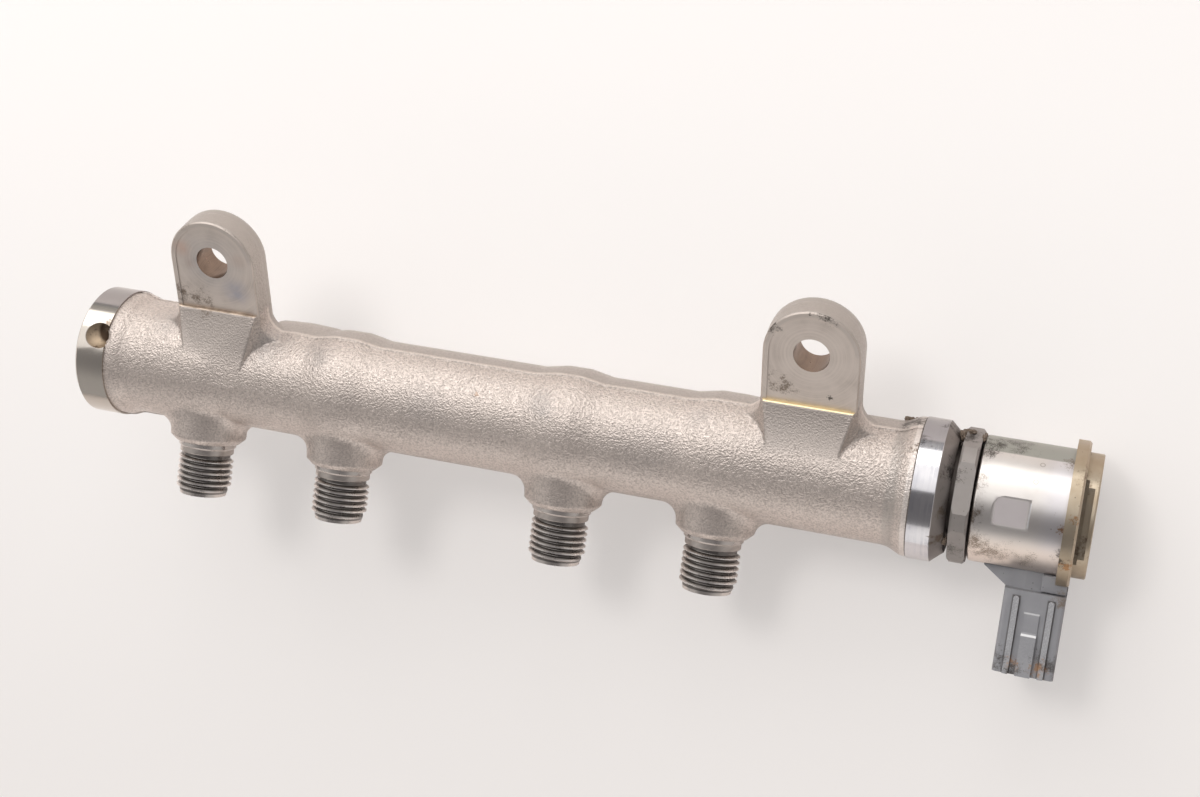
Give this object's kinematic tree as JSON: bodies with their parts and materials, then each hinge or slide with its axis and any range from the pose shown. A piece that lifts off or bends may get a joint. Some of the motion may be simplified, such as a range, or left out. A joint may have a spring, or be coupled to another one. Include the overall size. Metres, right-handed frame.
{
  "type": "fuel rail",
  "caption": "Forged steel common rail with threaded pipe outlets, an inlet, leaning mounting lugs and a screwed-in electric pressure control valve.",
  "frame": {"origin": "centre of the left end face, on the axis of the bore at the mouth of the sensor port", "axes": "+X along the bore towards the valve, +Z away from the outlets, -Y the side the mounting lugs lean towards"},
  "size_m": [0.2522, 0.0568, 0.0786],
  "materials": {
    "forged_steel": "shot-blasted satin with machined bands",
    "nut_steel": "dull machined",
    "soft_iron": "turned",
    "stainless": "bright",
    "hard_steel": "ground",
    "spring_steel": "bright drawn",
    "plated_steel": "bright plated",
    "yellow_plate": "yellow chromated",
    "copper": "enamelled wire",
    "contact": "tinned",
    "connector_plastic": "moulded satin",
    "bobbin_plastic": "moulded",
    "seal_rubber": "matt"
  },
  "bodies": {
    "rail": {"rail_body": "forged_steel", "valve_body": "nut_steel", "sealing_washer": "soft_iron", "edge_filter": "stainless", "valve_seat": "hard_steel", "guide_bush": "hard_steel", "stop_shim": "stainless", "armature_spring": "spring_steel", "spring_disc": "spring_steel", "isolating_sleeve": "stainless", "pole_core": "soft_iron", "coil_bobbin": "bobbin_plastic", "coil_winding": "copper", "magnet_can": "plated_steel", "end_plate": "yellow_plate", "end_cap": "yellow_plate", "connector_housing": "connector_plastic", "contact_pins": "contact", "port_ring": "seal_rubber", "core_ring": "seal_rubber"},
    "armature_set": {"armature": "soft_iron", "armature_pin": "hard_steel", "valve_ball": "hard_steel"}
  },
  "joints": [
    {"name": "armature_lift", "type": "slide", "parent": "rail", "child": "armature_set", "axis": [1, 0, 0], "range_m": [0, 0.00025], "stiffness_N_per_m": 500, "springref_m": -0.001, "deforming": ["armature_spring"]}
  ]
}
